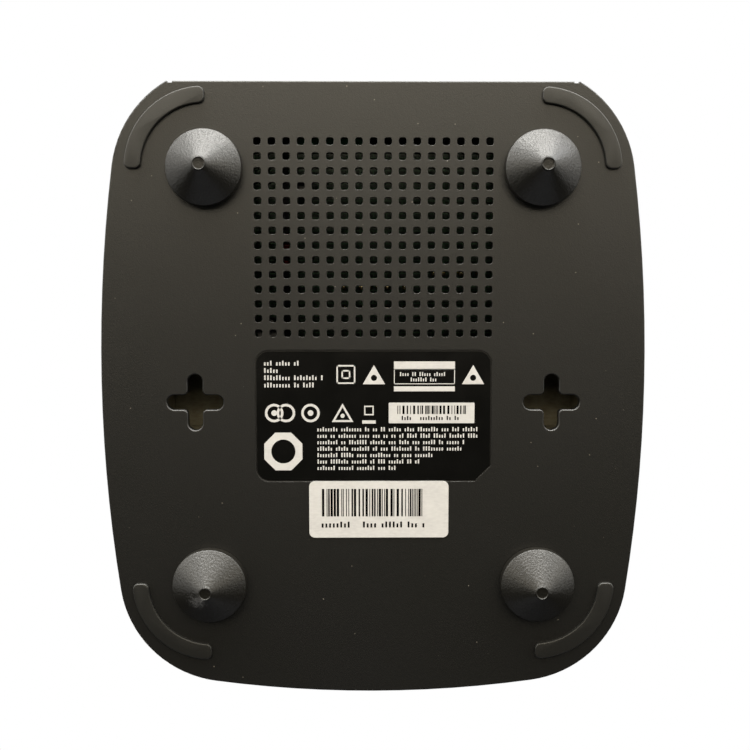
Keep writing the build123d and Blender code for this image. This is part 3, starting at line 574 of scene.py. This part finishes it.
white = [
    dashLine(rating["addressLeft"], rating["addressTop"] - rating["addressPitch"] * i,
             width, rating["addressHeight"])
    for i, width in enumerate(rating["addressLines"])
]
white += [
    dashLine(rating["noteLeft"], rating["noteTop"] - rating["notePitch"] * i,
             width, rating["noteHeight"])
    for i, width in enumerate(rating["noteLines"])
]
white += [frameBars(*square, rating["squareLine"]) for square in rating["squares"]]
# notice panel: a plain head strip, a framed field with two dashed lines, a plain foot strip
white.append(np.array([rating["noticeHead"], rating["noticeFoot"]]))
white.append(frameBars(*rating["noticeField"], rating["noticeLine"]))
white += [dashLine(*dashes, rating["noticeDashHeight"]) for dashes in rating["noticeDashes"]]
white.append(np.array([rating["underline"]]))
inkPiece("rating_print", [printedBars(bars, ratingCentre, ratingFace) for bars in white], "label_white")


def disc(sides, radius, centre, turn=0.0):
    return printedBand(polygon(sides, radius, centre, turn), polygon(sides, radius * 0.02, centre, turn))


upright = np.pi / 2
# places and sizes in the reader's millimetres from the label's centre
mark = {
    "noticeAcross": (0.1, 27.9), "noticeUp": 10.8, "noticeRadius": 3.6, "noticeHole": 0.85,
    "ringAcross": (-27.9, -24.6, -17.7), "dottedAcross": (-27.9, -17.7), "ringUp": 0.9,
    "ringRadii": (2.6, 1.9), "dot": 0.8,
    "triangle": (-8.7, 0.1), "triangleRadii": (3.5, 2.4), "triangleDot": 0.6,
    "square": (-1.3, 1.6), "squareRadii": (1.9, 1.4),
    "octagon": (-25.4, -10.0), "octagonRadii": (5.8, 3.4),
}


def notice(x):
    # plain triangle with a round hole
    spot = (x, mark["noticeUp"])
    return printedBand(polygon(3, mark["noticeRadius"], spot, upright, 12),
                       polygon(36, mark["noticeHole"], spot, upright))


def outlined(sides, radii, spot, turn=0.0, perSide=1):
    return printedBand(*[polygon(sides, radius, spot, turn, perSide) for radius in radii])


marks = [notice(x) for x in mark["noticeAcross"]]
marks += [outlined(40, mark["ringRadii"], (x, mark["ringUp"])) for x in mark["ringAcross"]]
marks += [disc(24, mark["dot"], (x, mark["ringUp"])) for x in mark["dottedAcross"]]
marks.append(outlined(3, mark["triangleRadii"], mark["triangle"], upright, 10))
marks.append(disc(20, mark["triangleDot"], mark["triangle"]))
marks.append(outlined(4, mark["squareRadii"], mark["square"], upright / 2))
octagonOuter, octagonInner = mark["octagonRadii"]
marks.append(printedBand(polygon(8, octagonOuter, mark["octagon"], upright / 4, 4),
                         polygon(32, octagonInner, mark["octagon"], upright / 4)))
joinedPiece("rating_marks", marks, "label_white")

# number label: dark bars over one line of dark dashes
serialCentre, serialFace = labelPlace("serial_label")
# "stripes" is (left, right, bottom, top, finest bar), "dashes" are (left, top, width, height)
serial = {
    "stripes": (-16.1, 13.1, -2.0, 5.9, 0.22),
    "dashes": [(-16.2, -3.5, 8.6, 1.7), (-4.5, -3.5, 18.0, 1.7)],
}
serialPrint = [stripes(*serial["stripes"])]
serialPrint += [dashLine(*dashes) for dashes in serial["dashes"]]
inkPiece("serial_print", [printedBars(bars, serialCentre, serialFace) for bars in serialPrint], "label_black")
batchCentre, batchFace = labelPlace("batch_label")
batch = {
    "stripes": (-9.6, 9.9, -0.3, 2.1, 0.2),
    "dashes": [(-8.4, -0.8, 3.6, 1.2), (-3.2, -0.8, 11.6, 1.2)],
}
batchPrint = [stripes(*batch["stripes"])]
batchPrint += [dashLine(*dashes) for dashes in batch["dashes"]]
inkPiece("batch_print", [printedBars(bars, batchCentre, batchFace) for bars in batchPrint], "label_black")
print("labels printed")


# ---- camera, lights and floor ----

# place and aim in millimetres, lens in millimetres on a 36 mm sensor
view = {"place": (1.6, 25.8, -245.1), "aim": (-0.4, 5.4, 10.0), "lens": 43.89}

cameraData = bpy.data.cameras.new("camera")
cameraData.lens = view["lens"]
cameraData.sensor_width = 36
cameraData.clip_start = 0.01
camera = bpy.data.objects.new("camera", cameraData)
bpy.context.scene.collection.objects.link(camera)
place = Vector(view["place"]) * mm
forward = (Vector(view["aim"]) * mm - place).normalized()
across = forward.cross(Vector((0, 1, 0))).normalized()
upwards = across.cross(forward)
camera.matrix_world = Matrix.Translation(place) @ Matrix((across, upwards, -forward)).transposed().to_4x4()
bpy.context.scene.camera = camera

# far lights below the floor's level, which face the base: a low window, the room and its ceiling
softboxes = {
    # name: degrees towards +Y from straight down, metres away, width, height, radiance, tint
    "windowLow": (85, 1.5, 2.0, 0.36, 35.0, "#fffdf7"),
    "windowHigh": (68, 1.5, 2.2, 0.52, 3.5, "#fffdf7"),
    "ceilingGlow": (34, 1.5, 1.9, 1.0, 4.1, "#fff3da"),
    "roomBehind": (-74, 1.5, 2.4, 0.7, 0.5, "#f6f8ff"),
}
aboveLights = {
    # name: place, width, height, radiance, tint; these light the top and sides
    "overhead": ((0.0, 0.1, 1.1), 1.0, 1.0, 5.0, "#ffffff"),
    "frontKey": ((0.7, -0.9, 0.7), 0.7, 0.7, 7.8, "#fffaf2"),
    "rearFill": ((-0.8, 0.9, 0.5), 0.8, 0.6, 6.0, "#f4f8ff"),
}
# soft light on the base from both sides
sideGlow = {"place": (1.25, 0.45, -0.75), "width": 0.8, "height": 1.0, "radiance": 1.8, "tint": "#fff3da"}
# walls that fade away from the window, level with the base; each panel is (degrees from +Y, radiance)
wall = {"away": 1.5, "up": -0.12, "width": 0.62, "height": 0.5, "tint": "#fffdf7",
        "panels": ((48, 13.0), (72, 5.0), (96, 2.2))}


def addSoftbox(name, spot, aim, width, height, radiance, tint):
    lamp = bpy.data.lights.new(name, "AREA")
    lamp.shape = "RECTANGLE"
    lamp.size = width
    lamp.size_y = height
    lamp.energy = radiance * np.pi * width * height
    lamp.color = linear(tint)[:3]
    box = bpy.data.objects.new(name, lamp)
    box.location = spot
    box.rotation_euler = (Vector(aim) - Vector(spot)).to_track_quat("-Z", "Y").to_euler()
    box.visible_camera = False
    bpy.context.scene.collection.objects.link(box)


baseCentre = (0, 0, 0.01)
caseCentre = (0, 0, 0.03)
for name, (tilt, away, *rest) in softboxes.items():
    tilt = np.radians(tilt)
    spot = (0, away * np.sin(tilt), 0.01 - away * np.cos(tilt))
    addSoftbox(name, spot, baseCentre, *rest)
for side in (-1, 1):
    x, y, z = sideGlow["place"]
    addSoftbox(f"glow{side}", (side * x, y, z), baseCentre,
               sideGlow["width"], sideGlow["height"], sideGlow["radiance"], sideGlow["tint"])
for turn, radiance in wall["panels"]:
    for side in (-1, 1):
        angle = np.radians(turn)
        spot = (wall["away"] * side * np.sin(angle), wall["away"] * np.cos(angle), wall["up"])
        addSoftbox(f"wall{turn * side}", spot, baseCentre,
                   wall["width"], wall["height"], radiance, wall["tint"])
for name, (spot, *rest) in aboveLights.items():
    addSoftbox(name, spot, caseCentre, *rest)

world = bpy.data.worlds.new("studio")
bpy.context.scene.world = world
world.use_nodes = True
sky = world.node_tree
sky.nodes.clear()
seen = addNode(sky, "ShaderNodeLightPath")
room = addNode(sky, "ShaderNodeBackground", {"Color": linear("#f2f4f6"), "Strength": 0.03})
backdrop = addNode(sky, "ShaderNodeBackground", {"Color": (1, 1, 1, 1), "Strength": 1.0})
choice = addNode(sky, "ShaderNodeMixShader", links={
    0: seen.outputs["Is Camera Ray"], 1: room.outputs[0], 2: backdrop.outputs[0]})
addNode(sky, "ShaderNodeOutputWorld", links={0: choice.outputs[0]})

# the floor is seen only from above, so that the underside can be looked at through it
floorMesh = bpy.data.meshes.new("floor")
half = 0.9               # metres; a wider floor falls dark at its far edge
floorCorners = [(-half, -half, 0), (half, -half, 0), (half, half, 0), (-half, half, 0)]
floorMesh.from_pydata(floorCorners, [], [(0, 1, 2, 3)])
floor = bpy.data.objects.new("floor", floorMesh)
bpy.context.scene.collection.objects.link(floor)
paper = bpy.data.materials.new("paperSweep")
paper.use_nodes = True
tree = paper.node_tree
tree.nodes.clear()
facing = addNode(tree, "ShaderNodeNewGeometry")
pale = addNode(tree, "ShaderNodeBsdfDiffuse", {"Color": linear("#eeedea")})
clear = addNode(tree, "ShaderNodeBsdfTransparent")
either = addNode(tree, "ShaderNodeMixShader", links={
    0: facing.outputs["Backfacing"], 1: pale.outputs[0], 2: clear.outputs[0]})
addNode(tree, "ShaderNodeOutputMaterial", links={0: either.outputs[0]})
floorMesh.materials.append(paper)
floor.visible_diffuse = False
floor.visible_glossy = False
floor.visible_transmission = False
floor.visible_shadow = False

bpy.context.scene.view_settings.view_transform = "Standard"
